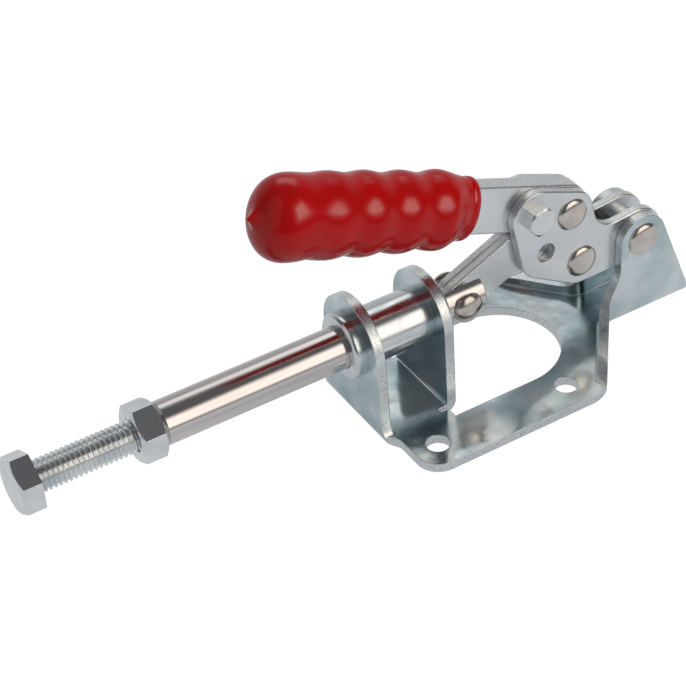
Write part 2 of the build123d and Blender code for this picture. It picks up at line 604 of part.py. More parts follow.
with BuildPart() as handle_grip:
    # mouth, running up to the first crest
    crest = GRIP_START + GRIP_FIRST_CREST
    shoulder = (GRIP_MOUTH[0] + GRIP_CRESTS[0]) / 2 + GRIP_VALLEY / 2
    loft([grip_section(GRIP_START, *GRIP_MOUTH),
          grip_section(GRIP_START + GRIP_FIRST_CREST * 0.4, shoulder, shoulder * 0.8),
          grip_oval(crest, GRIP_CRESTS[0])])
    # from crest to crest, through the valley between two fingers
    for height, next_height in zip(GRIP_CRESTS, GRIP_CRESTS[1:] + (GRIP_BULB_RADIUS,)):
        valley = min(height, next_height) - GRIP_VALLEY
        loft([grip_oval(crest, height), grip_oval(crest + GRIP_PITCH / 2, valley),
              grip_oval(crest + GRIP_PITCH, next_height)])
        crest += GRIP_PITCH
    # rounded bulb at the free end
    bulb_reach = GRIP_BULB_LENGTH - GRIP_PITCH / 2
    bulb = [grip_oval(crest + bulb_reach * share, GRIP_BULB_RADIUS * sqrt(1 - share**2.4))
            for share in (0.0, 0.3, 0.55, 0.75, 0.88, 0.95, 0.99)]
    loft(bulb)
    # drip left at the tip
    tip = crest + bulb_reach
    with BuildSketch(BAR_PLANE):
        with Locations((tip - 2 * GRIP_NIPPLE_LENGTH / 3, 0)):
            Ellipse(GRIP_NIPPLE_LENGTH, GRIP_NIPPLE_RADIUS)
            Rectangle(2 * GRIP_NIPPLE_LENGTH, GRIP_NIPPLE_RADIUS, align=(Align.CENTER, Align.MIN),
                      mode=Mode.INTERSECT)
    revolve(axis=Axis(BAR_PLANE.origin, BAR_PLANE.x_dir))
    # pocket that the bar fills
    with BuildSketch(BAR_PLANE):
        Rectangle(BAR_REACH, BAR_WIDTH + 2 * GRIP_FIT, align=(Align.MIN, Align.CENTER))
        with Locations((BAR_REACH, 0)):
            Circle(BAR_WIDTH / 2 + GRIP_FIT)
    extrude(amount=BAR_THICKNESS / 2 + GRIP_FIT, both=True, mode=Mode.SUBTRACT)

handle_grip.part.label = "handle_grip"
export_step(handle_grip.part, "parts/handle_grip.step")

# ---------------------------------------------------------------- rivets of the linkage
with BuildPart() as pivot_rivet:
    with BuildSketch(rivet_plane(PIVOT)):
        add(rivet_outline(PIVOT_RIVET_DIAMETER, PIVOT_HEAD_DIAMETER, HEAD_RISE, EAR_OUTER_Y, 0))
    revolve(axis=cross_axis(PIVOT))
    mirror(about=SIDE_PLANE)

pivot_rivet.part.label = "pivot_rivet"
export_step(pivot_rivet.part, "parts/pivot_rivet.step")

with BuildPart() as pivot_bush:
    with BuildSketch(SIDE_PLANE):
        with Locations((PIVOT.X, PIVOT.Y)):
            Circle(PIVOT_BUSH_DIAMETER / 2)
            Circle(PIVOT_RIVET_DIAMETER / 2 + RUNNING_FIT, mode=Mode.SUBTRACT)
    extrude(amount=ROCKER_INNER_Y, both=True)

pivot_bush.part.label = "pivot_bush"
export_step(pivot_bush.part, "parts/pivot_bush.step")

with BuildPart() as link_rivet:
    with BuildSketch(rivet_plane(LINK_PIN)):
        add(rivet_outline(RIVET_DIAMETER, RIVET_HEAD_DIAMETER, HEAD_RISE, ROCKER_OUTER_Y, 0))
    revolve(axis=cross_axis(LINK_PIN))
    mirror(about=SIDE_PLANE)

link_rivet.part.label = "link_rivet"
export_step(link_rivet.part, "parts/link_rivet.step")

with BuildPart() as handle_rivet:
    with BuildSketch(rivet_plane(HANDLE_RIVET)):
        add(rivet_outline(RIVET_DIAMETER, RIVET_HEAD_DIAMETER, HEAD_RISE, ROCKER_OUTER_Y, 0))
    revolve(axis=cross_axis(HANDLE_RIVET))
    mirror(about=SIDE_PLANE)

handle_rivet.part.label = "handle_rivet"
export_step(handle_rivet.part, "parts/handle_rivet.step")

# ---------------------------------------------------------------- handle screw
with BuildPart() as handle_screw:
    with BuildSketch(screw_plane(-ROCKER_OUTER_Y, -1)):
        RegularPolygon(SCREW_ACROSS_FLATS / 2, 6, major_radius=False, rotation=SCREW_TURN)
    extrude(amount=SCREW_HEAD_HEIGHT)
    with BuildSketch(lengthwise(screw_plane(-ROCKER_OUTER_Y, -1))):
        add(head_turning(SCREW_ACROSS_FLATS, SCREW_HEAD_HEIGHT))
    revolve(axis=cross_axis(HANDLE_SCREW), mode=Mode.INTERSECT)
    with BuildSketch(screw_plane(-ROCKER_OUTER_Y, 1)):
        Circle(SCREW_DIAMETER / 2)
    extrude(amount=SCREW_LENGTH)
    chamfer(handle_screw.faces().sort_by(Axis.Y)[-1].edges(), NUT_COUNTERSINK)

handle_screw.part.label = "handle_screw"
export_step(handle_screw.part, "parts/handle_screw.step")

with BuildPart() as handle_screw_washer:
    with BuildSketch(screw_plane(ROCKER_OUTER_Y, 1)):
        Circle(WASHER_DIAMETER / 2)
        Circle(SCREW_DIAMETER / 2, mode=Mode.SUBTRACT)
    extrude(amount=WASHER_SHEET)

handle_screw_washer.part.label = "handle_screw_washer"
export_step(handle_screw_washer.part, "parts/handle_screw_washer.step")

with BuildPart() as handle_screw_nut:
    with BuildSketch(screw_plane(ROCKER_OUTER_Y + WASHER_SHEET, 1)):
        RegularPolygon(SCREW_ACROSS_FLATS / 2, 6, major_radius=False, rotation=SCREW_TURN)
    extrude(amount=SCREW_NUT_HEIGHT)
    with BuildSketch(lengthwise(screw_plane(ROCKER_OUTER_Y + WASHER_SHEET, 1))):
        add(nut_turning(SCREW_ACROSS_FLATS, SCREW_NUT_HEIGHT, SCREW_DIAMETER))
    revolve(axis=cross_axis(HANDLE_SCREW), mode=Mode.INTERSECT)

handle_screw_nut.part.label = "handle_screw_nut"
export_step(handle_screw_nut.part, "parts/handle_screw_nut.step")
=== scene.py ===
"""Finishes and studio for a push-pull toggle clamp.

Zinc-plated pressed steel, a polished plunger, an M8 spindle bolt with a real thread, domed
rivets and a grip of dipped red vinyl.  Lengths are in metres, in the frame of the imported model.
"""

from math import cos, pi, radians, sin, sqrt

import bmesh
import bpy
from mathutils import Matrix, Vector


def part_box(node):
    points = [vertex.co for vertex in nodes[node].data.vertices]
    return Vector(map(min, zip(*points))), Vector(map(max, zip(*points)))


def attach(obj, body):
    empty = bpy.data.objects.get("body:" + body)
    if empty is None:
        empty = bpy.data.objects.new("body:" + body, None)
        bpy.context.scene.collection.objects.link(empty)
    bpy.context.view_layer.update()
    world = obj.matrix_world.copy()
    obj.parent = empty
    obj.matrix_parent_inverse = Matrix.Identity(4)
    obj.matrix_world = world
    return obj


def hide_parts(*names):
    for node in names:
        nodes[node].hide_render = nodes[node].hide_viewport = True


MM = 0.001

# ------------------------------------------------------------------ spindle thread
THREAD_PITCH = 1.25 * MM
THREAD_DEPTH = 0.68 * MM
THREAD_CREST_SHARE = 0.16       # flat crest, as a share of the pitch
SHANK_RADIUS = 4.0 * MM
RADIUS_TOLERANCE = 0.02 * MM
HEAD_STUB = 0.05 * MM           # length of plain shank that stays on the head
RINGS_PER_PITCH = 12
POINTS_ROUND_SHANK = 40
TIP_CHAMFER = 1.0 * MM
MERGE_DISTANCE = 0.002 * MM     # loose corners closer than this are one

# ------------------------------------------------------------------ grip
# distances run from the handle rivet along the bar
GRIP_MOUTH = 29.0 * MM
LIP_CREASE = 31.4 * MM          # fold behind the lip of the mouth
FIRST_CREST = 39.2 * MM
GRIP_PITCH = 10.2 * MM          # between finger bulges
LAST_CREST = FIRST_CREST + 4 * GRIP_PITCH
BULB_END = 88.3 * MM
BULB_BLUNTNESS = 2.35           # 2 is a round end, more is flatter
DRIP_LENGTH = 2.3 * MM          # point left by the dipping
DRIP_RADIUS = 4.2 * MM
DRIP_SHARPNESS = 2.6
MOUTH_RIM = (7.3 * MM, 4.6 * MM)        # half height and half width, as for the sizes below
LIP_SIZE = (8.25 * MM, 5.5 * MM)
FIRST_BULGE = (9.85 * MM, 8.75 * MM)
FULL_BULGE = (10.45 * MM, 9.25 * MM)
BULGES_TO_FULL = 3
POCKET_SIZE = (6.1 * MM, 2.6 * MM)
# rings of the pocket and of its rim: depth inside the mouth, share of the way out to the rim
POCKET_RINGS = ((6.0 * MM, 0.0), (0.5 * MM, 0.0), (0.1 * MM, 0.3), (0.0, 0.75))
LIP_RINGS = (0.0, 0.06 * MM, 0.2 * MM, 0.45 * MM, 0.8 * MM)     # behind the mouth
DRIP_RINGS = (0.5 * MM, 0.35 * MM, 0.2 * MM, 0.1 * MM)          # radii round its point
RIM_ROUNDING = 1.6 * MM
VALLEY_TOP = 0.62 * MM
VALLEY_UNDER = 1.0 * MM
UNDERSIDE_SPREAD = 1.1          # how soon the side turns into the underside
VALLEY_LOSS = 0.55              # share of their depth that the valleys lose towards the bulb
FADING_FROM, FADING_OVER = 1.5, 2.5     # in bulges
CREASE_DEPTH = 0.16 * MM
CREASE_HALF_WIDTH = 0.7 * MM
GRIP_LIFT = 0.5 * MM            # the bar stands this far above the rivet's line
SAG_AT_MOUTH = 0.35 * MM
SAG_AT_BULB = 0.75 * MM
GRIP_POINTS_ROUND = 96
GRIP_RING_STEP = 0.3 * MM
BULB_RINGS = 36

# ------------------------------------------------------------------ finishes
SPANGLE_FINENESS = 2600.0
PIT_FINENESS = 5200.0
WAVE_FINENESS = 115.0           # slow waviness of a pressed sheet
STREAK_FINENESS = 900.0
# levels of a pattern between which a mask or a share rises, and that share's two ends
CLOUD_LEVELS = (0.35, 0.68)
PIT_LEVELS = (0.66, 0.74)
SPANGLE_TONE = (0.3, 0.7, 0.975, 1.02)
SPANGLE_GLOSS = (0.25, 0.75, 0.85, 1.2)
TORN_LEVELS = (0.36, 0.46)
SPANGLE_HEIGHT = 0.15
PIT_DEPTH = 0.5
TORN_METAL = (0.88, 0.885, 0.89, 1)
PIT_DARK = (0.16, 0.17, 0.18, 1)
TORN_SHARE = 0.7                # how far a torn edge leaves the plating's own colour
PIT_SHARE = 0.45                # how far its pits go to their dark
TORN_DULLNESS = 0.10
RING_STRETCH = (1.0, 0.04, 0.04)        # rings that run round a bar
STREAK_STRETCH = (0.02, 1.0, 1.0)       # streaks that run along it
SHEET_ROUNDING = 0.35 * MM      # broken corners of the blanked plates
SHEET_RELIEF = 0.012 * MM       # real height of one unit of a finish's height
FORMED_ROUNDING = 0.2 * MM
FORMED_RELIEF = 0.006 * MM
# a face of the base is a blanked edge where less than this share of its normal points the way
# that the sheet faces, and an ear's flat side where more than the last does
FLANGE_EDGE, UPRIGHT_EDGE, WALL_EDGE = 0.4, 0.5, 0.3
EAR_SIDE = 0.8
PLATE_EDGE_LEVELS = (0.35, 0.7)         # the same for the flat plates, softened
FLANGE_TOP = 2.55 * MM          # just above the upper face of the flange
EAR_REACH = 6 * MM              # from the pivot rivet to the foot of the ears

# ------------------------------------------------------------------ studio
CAMERA_PLACE = Vector((-0.21473, -0.33896, 0.33400))
CAMERA_AZIMUTH = -28.54
CAMERA_ELEVATION = 38.76
CAMERA_ROLL = -4.35
CAMERA_LENS = 109.64
SENSOR_WIDTH = 36.0
FLOOR_HALF = 3.0
FLOOR_DROP = 0.0002             # the paper lies this far below the base
PAPER_TONE = (0.80, 0.80, 0.80, 1)
PAPER_GLOW = 1.2
GLOW_SHARE = 0.82               # the rest of the paper takes the object's soft shadow
FLOOR_GLOSS = 0.68              # the paper as polished metal sees it
GLOSS_TONE = (0.94, 0.97, 1.0, 1)
# its grey carries a painted shadow of the clamp that darkens it close to the mounting holes' centre, and
# painted shade that darkens it with Y towards the
# front: where the change starts and ends, and the share of the grey at either end
PAINTED_SHADOW_NEAR = (0.01, 0.07, 0.70, 1.0)
PAINTED_SHADE_FRONT = (-0.36, -0.20, 0.22, 1.0)
AMBIENT = 0.40
LAMP_DISTANCE = 1.1

# The tent as polished metal sees it.  Each panel: the azimuth and elevation of its middle in
# degrees, its half spans, its soft borders, and its colour.
TENT_WALLS = (0.10, 0.105, 0.11, 1)
TENT_ROOF = (0.12, 0.12, 0.125, 1)
ROOF_LINE = (40.0, 60.0)        # elevations between which the walls turn into the roof
TENT_PANELS = (
    ((-88, 22), (27, 40), (9, 9), (0.58, 0.59, 0.60, 1)),       # left wall
    ((150, 8), (62, 24), (12, 8), (0.52, 0.53, 0.54, 1)),       # far wall
    ((148, 50), (44, 12), (8, 5), (1.12, 1.13, 1.12, 1)),       # far softbox
    ((22, 25), (25, 22), (7, 6), (1.60, 1.49, 1.36, 1)),        # front softbox
)

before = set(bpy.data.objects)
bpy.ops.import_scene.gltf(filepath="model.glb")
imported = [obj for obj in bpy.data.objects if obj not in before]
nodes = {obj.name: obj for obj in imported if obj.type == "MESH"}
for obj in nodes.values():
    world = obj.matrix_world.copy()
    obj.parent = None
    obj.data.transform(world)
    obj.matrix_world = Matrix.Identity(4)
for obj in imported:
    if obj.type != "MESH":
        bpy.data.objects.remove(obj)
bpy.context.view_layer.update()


# ------------------------------------------------------------------ node-tree helpers
def put(tree, kind, inputs=None, **settings):
    """Adds a node, sets its properties, and joins or sets its inputs."""
    node = tree.nodes.new(kind)
    for name, value in settings.items():
        setattr(node, name, value)
    for socket, value in (inputs or {}).items():
        if isinstance(value, bpy.types.NodeSocket):
            tree.links.new(value, node.inputs[socket])
        else:
            node.inputs[socket].default_value = value
    return node


def calc(tree, operation, *values, clamp=False):
    """One step of arithmetic; each value is a number or a socket."""
    node = put(tree, "ShaderNodeMath", dict(enumerate(values)), operation=operation, use_clamp=clamp)
    return node.outputs[0]


def new_group(name, kind, takes, gives):
    """An empty node group with named inputs (name, type, default) and outputs (name, type)."""
    tree = bpy.data.node_groups.new(name, kind)
    for label, socket_type, default in takes:
        socket = tree.interface.new_socket(label, in_out="INPUT", socket_type=socket_type)
        if default is not None:
            socket.default_value = default
    for label, socket_type in gives:
        tree.interface.new_socket(label, in_out="OUTPUT", socket_type=socket_type)
    return tree, tree.nodes.new("NodeGroupInput").outputs, tree.nodes.new("NodeGroupOutput").inputs


def either(tree, choice, where_one, where_zero):
    """where_one where choice is 1, where_zero where it is 0."""
    return calc(tree, "ADD", calc(tree, "MULTIPLY", choice, where_one),
                calc(tree, "MULTIPLY", calc(tree, "SUBTRACT", 1.0, choice), where_zero))


def noise(tree, vector, scale, detail=2.0, roughness=0.5):
    """A cloud pattern between 0 and 1 over a position."""
    node = put(tree, "ShaderNodeTexNoise", {"Vector": vector, "Scale": scale, "Detail": detail,
                                            "Roughness": roughness})
    return node.outputs["Fac"]


def spread(tree, value, low, high, to_low=0.0, to_high=1.0):
    """Stretches low..high to to_low..to_high, and holds it there outside."""
    node = put(tree, "ShaderNodeMapRange", {"Value": value, "From Min": low, "From Max": high,
                                            "To Min": to_low, "To Max": to_high})
    return node.outputs["Result"]


def split(tree, vector):
    """The X, Y and Z of a vector."""
    return put(tree, "ShaderNodeSeparateXYZ", {0: vector}).outputs


def blend_tones(tree, share, first, second):
    """A colour that is first at share 0 and second at share 1."""
    node = put(tree, "ShaderNodeMix", data_type="RGBA")
    # the mix node keeps its colours in inputs 6 and 7, and gives the result in output 2
    for socket, value in ((node.inputs[0], share), (node.inputs[6], first), (node.inputs[7], second)):
        if isinstance(value, bpy.types.NodeSocket):
            tree.links.new(value, socket)
        else:
            socket.default_value = value
    return node.outputs[2]


# ------------------------------------------------------------------ shared effects
def plating_group():
    """Electroplated zinc: slow clouds of tint, fine spangle and tiny pits."""
    tree, takes, gives = new_group(
        "Zinc plating", "ShaderNodeTree",
        [("Position", "NodeSocketVector", None), ("Bright", "NodeSocketColor", (0.8, 0.8, 0.8, 1)),
         ("Tint", "NodeSocketColor", (0.6, 0.7, 0.75, 1)), ("Cloud Size", "NodeSocketFloat", 120.0),
         ("Tint Share", "NodeSocketFloat", 0.5), ("Smooth", "NodeSocketFloat", 0.2),
         ("Dull", "NodeSocketFloat", 0.35), ("Waves", "NodeSocketFloat", 0.0)],
        [("Color", "NodeSocketColor"), ("Roughness", "NodeSocketFloat"), ("Height", "NodeSocketFloat")])
    clouds = noise(tree, takes["Position"], takes["Cloud Size"], detail=3.0)
    clouds = spread(tree, clouds, *CLOUD_LEVELS)
    spangle = noise(tree, takes["Position"], SPANGLE_FINENESS, detail=2.0, roughness=0.6)
    pits = spread(tree, noise(tree, takes["Position"], PIT_FINENESS, detail=1.0), *PIT_LEVELS)
    share = calc(tree, "MULTIPLY", clouds, takes["Tint Share"])
    speckle = spread(tree, spangle, *SPANGLE_TONE)
    tone = blend_tones(tree, share, takes["Bright"], takes["Tint"])
    scaled = put(tree, "ShaderNodeVectorMath", {0: tone, "Scale": speckle}, operation="SCALE")
    tree.links.new(scaled.outputs[0], gives["Color"])
    rough = spread(tree, clouds, 0.0, 1.0, takes["Smooth"], takes["Dull"])
    rough = calc(tree, "MULTIPLY", rough, spread(tree, spangle, *SPANGLE_GLOSS))
    tree.links.new(rough, gives["Roughness"])
    height = calc(tree, "SUBTRACT", calc(tree, "MULTIPLY", spangle, SPANGLE_HEIGHT),
                  calc(tree, "MULTIPLY", pits, PIT_DEPTH))
    waves = noise(tree, takes["Position"], WAVE_FINENESS, detail=1.5)
    height = calc(tree, "ADD", height, calc(tree, "MULTIPLY", waves, takes["Waves"]))
    tree.links.new(height, gives["Height"])
    return tree


def sheared_group():
    """Blanked edge of a sheet: bright torn grain, dark in its pits, over the plating."""
    tree, takes, gives = new_group(
        "Sheared edge", "ShaderNodeTree",
        [("Position", "NodeSocketVector", None), ("Edge", "NodeSocketFloat", 1.0),
         ("Color", "NodeSocketColor", (0.7, 0.7, 0.7, 1)), ("Roughness", "NodeSocketFloat", 0.3),
         ("Height", "NodeSocketFloat", 0.0), ("Grain Size", "NodeSocketFloat", 2300.0),
         ("Grain Depth", "NodeSocketFloat", 6.0)],
        [("Color", "NodeSocketColor"), ("Roughness", "NodeSocketFloat"), ("Height", "NodeSocketFloat")])
    grain = noise(tree, takes["Position"], takes["Grain Size"], detail=3.0, roughness=0.65)
    pits = calc(tree, "SUBTRACT", 1.0, spread(tree, grain, *TORN_LEVELS))
    dark = calc(tree, "MULTIPLY", calc(tree, "MULTIPLY", pits, takes["Edge"]), PIT_SHARE)
    bared = blend_tones(tree, calc(tree, "MULTIPLY", takes["Edge"], TORN_SHARE), takes["Color"], TORN_METAL)
    tree.links.new(blend_tones(tree, dark, bared, PIT_DARK), gives["Color"])
    extra = calc(tree, "MULTIPLY", takes["Edge"], TORN_DULLNESS)
    tree.links.new(calc(tree, "ADD", takes["Roughness"], extra), gives["Roughness"])
    raised = calc(tree, "MULTIPLY", calc(tree, "MULTIPLY", grain, takes["Grain Depth"]), takes["Edge"])
    tree.links.new(calc(tree, "ADD", takes["Height"], raised), gives["Height"])
    return tree


def turned_group():
    """Fine rings left by turning or grinding a round bar along its own X axis."""
    tree, takes, gives = new_group(
        "Turned rings", "ShaderNodeTree",
        [("Position", "NodeSocketVector", None), ("Fineness", "NodeSocketFloat", 6000.0)],
        [("Height", "NodeSocketFloat"), ("Streak", "NodeSocketFloat")])
    turned = put(tree, "ShaderNodeVectorMath", {0: takes["Position"], 1: RING_STRETCH},
                 operation="MULTIPLY").outputs[0]
    tree.links.new(noise(tree, turned, takes["Fineness"], detail=2.0), gives["Height"])
    drawn = put(tree, "ShaderNodeVectorMath", {0: takes["Position"], 1: STREAK_STRETCH},
                operation="MULTIPLY").outputs[0]
    tree.links.new(noise(tree, drawn, STREAK_FINENESS, detail=2.0), gives["Streak"])
    return tree


PLATING = plating_group()
SHEARED = sheared_group()
TURNED = turned_group()


def place_group(tree, group, inputs):
    """Puts a shared effect into a material, with the material's own values."""
    return put(tree, "ShaderNodeGroup", inputs, node_tree=group).outputs


def new_material(name, metallic, specular=0.5):
    """A material with its Principled surface and the position that its patterns follow."""
    material = bpy.data.materials.new(name)
    material.use_nodes = True
    tree = material.node_tree
    surface = tree.nodes["Principled BSDF"]
    surface.inputs["Metallic"].default_value = metallic
    surface.inputs["Specular IOR Level"].default_value = specular
    place = put(tree, "ShaderNodeTexCoord").outputs["Object"]
    return material, tree, surface, place


def relief(tree, surface, height, depth, rounding=0.0):
    """Feeds a height to the surface's normal, over corners that are rounded by a small radius."""
    bump = put(tree, "ShaderNodeBump", {"Height": height, "Distance": depth, "Strength": 1.0})
    if rounding:
        corner = put(tree, "ShaderNodeBevel", {"Radius": rounding}, samples=6)
        tree.links.new(corner.outputs[0], bump.inputs["Normal"])
    tree.links.new(bump.outputs[0], surface.inputs["Normal"])


def dress(tree, surface, finish, depth, rounding):
    """Joins the colour, roughness and height of a finish to the surface."""
    tree.links.new(finish["Color"], surface.inputs["Base Color"])
    tree.links.new(finish["Roughness"], surface.inputs["Roughness"])
    relief(tree, surface, finish["Height"], depth, rounding)


def sheared(tree, place, edge, plating):
    """The plating of a sheet, torn where edge is 1."""
    return place_group(tree, SHEARED, {
        "Position": place, "Edge": edge, "Color": plating["Color"], "Roughness": plating["Roughness"],
        "Height": plating["Height"]})


# ------------------------------------------------------------------ materials
def plate_zinc():
    """Flat blanked plates: satin faces across Y, torn grain round the outline."""
    material, tree, surface, place = new_material("plate_zinc", 1.0)
    facing = split(tree, put(tree, "ShaderNodeTexCoord").outputs["Normal"])
    flat = spread(tree, calc(tree, "ABSOLUTE", facing["Y"]), *PLATE_EDGE_LEVELS)
    edge = calc(tree, "SUBTRACT", 1.0, flat)
    plating = place_group(tree, PLATING, {
        "Position": place, "Bright": (0.80, 0.81, 0.815, 1), "Tint": (0.70, 0.725, 0.745, 1),
        "Cloud Size": 90.0, "Tint Share": 0.8, "Smooth": 0.20, "Dull": 0.32, "Waves": 4.0})
    dress(tree, surface, sheared(tree, place, edge, plating), SHEET_RELIEF, SHEET_ROUNDING)
    return material


def base_zinc(uprights_end, ears_start):
    """Pressed sheet: bright plating with blue-green tint, grain on every blanked edge.

    A face is a blanked edge where its normal is turned away from the sheet's own: from Z in the
    flange, from X in the uprights and from Y in the walls behind them.  The ears' flat sides reach
    down past the flange's top, so they are left out of its edge.
    """
    material, tree, surface, place = new_material("base_zinc", 1.0)
    at = split(tree, place)
    facing = split(tree, put(tree, "ShaderNodeTexCoord").outputs["Normal"])
    flat_x, flat_y, flat_z = (calc(tree, "ABSOLUTE", facing[axis]) for axis in "XYZ")
    in_flange = calc(tree, "LESS_THAN", at["Z"], FLANGE_TOP)
    in_uprights = calc(tree, "LESS_THAN", at["X"], uprights_end)
    in_ears = calc(tree, "GREATER_THAN", at["X"], ears_start)
    ear_side = calc(tree, "MULTIPLY", in_ears, calc(tree, "GREATER_THAN", flat_y, EAR_SIDE))
    flange_edge = calc(tree, "MULTIPLY", calc(tree, "LESS_THAN", flat_z, FLANGE_EDGE),
                       calc(tree, "SUBTRACT", 1.0, ear_side))
    upright_edge = calc(tree, "LESS_THAN", flat_x, UPRIGHT_EDGE)
    wall_edge = calc(tree, "LESS_THAN", flat_y, WALL_EDGE)
    raised_edge = either(tree, in_uprights, upright_edge, wall_edge)
    edge = either(tree, in_flange, flange_edge, raised_edge)
    plating = place_group(tree, PLATING, {
        "Position": place, "Bright": (0.70, 0.755, 0.765, 1), "Tint": (0.27, 0.41, 0.47, 1),
        "Cloud Size": 80.0, "Tint Share": 0.75, "Smooth": 0.11, "Dull": 0.22, "Waves": 20.0})
    dress(tree, surface, sheared(tree, place, edge, plating), SHEET_RELIEF, SHEET_ROUNDING)
    return material


def smooth_zinc(name, bright, tint, smooth, dull):
    """Bright zinc on a machined or formed piece."""
    material, tree, surface, place = new_material(name, 1.0)
    plating = place_group(tree, PLATING, {
        "Position": place, "Bright": bright, "Tint": tint, "Cloud Size": 160.0,
        "Tint Share": 0.7, "Smooth": smooth, "Dull": dull})
    dress(tree, surface, plating, FORMED_RELIEF, FORMED_ROUNDING)
    return material


def polished_bar():
    """Ground and polished plunger, slightly warm, with faint drawn streaks."""
    material, tree, surface, place = new_material("polished_bar", 1.0)
    rings = place_group(tree, TURNED, {"Position": place})
    tone = blend_tones(tree, spread(tree, rings["Streak"], 0.35, 0.65),
                       (0.70, 0.66, 0.65, 1), (0.60, 0.555, 0.55, 1))
    tree.links.new(tone, surface.inputs["Base Color"])
    tree.links.new(spread(tree, rings["Streak"], 0.3, 0.7, 0.14, 0.22), surface.inputs["Roughness"])
    relief(tree, surface, rings["Height"], depth=0.0015 * MM, rounding=0.1 * MM)
    return material


def rivet_steel():
    """Domed rivet heads, burnished by the riveting tool to a warm bright finish."""
    material, tree, surface, place = new_material("rivet_steel", 1.0)
    plating = place_group(tree, PLATING, {
        "Position": place, "Bright": (0.70, 0.64, 0.58, 1), "Tint": (0.52, 0.46, 0.43, 1),
        "Cloud Size": 260.0, "Tint Share": 0.6, "Smooth": 0.11, "Dull": 0.20})
    dress(tree, surface, plating, depth=0.004 * MM, rounding=0.15 * MM)
    return material


def dipped_vinyl():
    """Glossy red plastisol with a faint orange-peel surface."""
    material, tree, surface, place = new_material("dipped_vinyl", 0.0, specular=0.28)
    clouds = noise(tree, place, scale=140.0, detail=3.0)
    tone = blend_tones(tree, spread(tree, clouds, 0.3, 0.7),
                       (0.50, 0.0006, 0.0007, 1), (0.44, 0.0005, 0.0006, 1))
    tree.links.new(tone, surface.inputs["Base Color"])
    peel = noise(tree, place, scale=420.0, detail=1.0)
    tree.links.new(spread(tree, clouds, 0.3, 0.7, 0.17, 0.23), surface.inputs["Roughness"])
    relief(tree, surface, peel, depth=0.02 * MM)
    return material


# ------------------------------------------------------------------ spindle bolt with its thread
def thread_tree():
    """Geometry nodes: a round shank along Z whose radius follows one helical thread."""
    tree, takes, gives = new_group(
        "Helical thread", "GeometryNodeTree",
        [("Geometry", "NodeSocketGeometry", None), ("Crest Radius", "NodeSocketFloat", 0.004),
         ("Depth", "NodeSocketFloat", 0.0007), ("Pitch", "NodeSocketFloat", 0.00125),
         ("Crest Share", "NodeSocketFloat", 0.15), ("Length", "NodeSocketFloat", 0.045),
         ("Tip Chamfer", "NodeSocketFloat", 0.001), ("Rings", "NodeSocketInt", 400),
         ("Points Round", "NodeSocketInt", 40), ("Finish", "NodeSocketMaterial", None)],
        [("Geometry", "NodeSocketGeometry")])
    shank = put(tree, "GeometryNodeMeshCylinder", {
        "Vertices": takes["Points Round"], "Side Segments": takes["Rings"],
        "Radius": takes["Crest Radius"], "Depth": takes["Length"]})
    at = split(tree, put(tree, "GeometryNodeInputPosition").outputs[0])
    turn = calc(tree, "DIVIDE", calc(tree, "ARCTAN2", at["Y"], at["X"]), 2 * pi)
    along = calc(tree, "DIVIDE", at["Z"], takes["Pitch"])
    # a hundred whole turns keep the phase above zero
    phase = calc(tree, "FRACT", calc(tree, "ADD", calc(tree, "SUBTRACT", along, turn), 100.0))
    flank = calc(tree, "ABSOLUTE", calc(tree, "SUBTRACT", calc(tree, "MULTIPLY", phase, 2.0), 1.0))
    sloped = calc(tree, "DIVIDE", calc(tree, "SUBTRACT", flank, takes["Crest Share"]),
                  calc(tree, "SUBTRACT", 1.0, calc(tree, "MULTIPLY", takes["Crest Share"], 2.0)), clamp=True)
    radius = calc(tree, "SUBTRACT", takes["Crest Radius"], calc(tree, "MULTIPLY", sloped, takes["Depth"]))
    from_tip = calc(tree, "SUBTRACT", calc(tree, "MULTIPLY", takes["Length"], 0.5), at["Z"])
    tip_radius = calc(tree, "SUBTRACT", takes["Crest Radius"], takes["Tip Chamfer"])
    tip_radius = calc(tree, "ADD", tip_radius, from_tip)
    radius = calc(tree, "MINIMUM", radius, tip_radius)
    share = calc(tree, "DIVIDE", radius, takes["Crest Radius"])
    moved = put(tree, "ShaderNodeCombineXYZ", {0: calc(tree, "MULTIPLY", at["X"], share),
                                               1: calc(tree, "MULTIPLY", at["Y"], share), 2: at["Z"]})
    cut = put(tree, "GeometryNodeSetPosition", {
        "Geometry": shank.outputs["Mesh"], "Position": moved.outputs[0]})
    smooth = put(tree, "GeometryNodeSetShadeSmooth", {"Geometry": cut.outputs[0]})
    real = put(tree, "GeometryNodeRealizeInstances", {"Geometry": smooth.outputs[0]})
    painted = put(tree, "GeometryNodeSetMaterial", {"Geometry": real.outputs[0], "Material": takes["Finish"]})
    tree.links.new(painted.outputs[0], gives["Geometry"])
    return tree


def grown_mesh(name, tree, values):
    """Runs a geometry-node tree with named values and returns its result as a plain mesh."""
    holder = bpy.data.objects.new(name, bpy.data.meshes.new(name))
    bpy.context.scene.collection.objects.link(holder)
    modifier = holder.modifiers.new(name, "NODES")
    modifier.node_group = tree
    for item in tree.interface.items_tree:
        if item.item_type == "SOCKET" and item.in_out == "INPUT" and item.name in values:
            modifier[item.identifier] = values[item.name]
    bpy.context.view_layer.update()
    evaluated = holder.evaluated_get(bpy.context.evaluated_depsgraph_get())
    mesh = bpy.data.meshes.new_from_object(evaluated)
    bpy.data.objects.remove(holder)
    return mesh


def shape_mesh(name, shape, finish):
    """Turns a shape into a mesh of one material, and frees the shape."""
    mesh = bpy.data.meshes.new(name)
    shape.to_mesh(mesh)
    shape.free()
    mesh.materials.append(finish)
    for polygon in mesh.polygons:
        polygon.material_index = 0
    return mesh


def new_piece(name, mesh):
    """An object in the scene that holds a finished mesh."""
    piece = bpy.data.objects.new(name, mesh)
    bpy.context.scene.collection.objects.link(piece)
    return piece


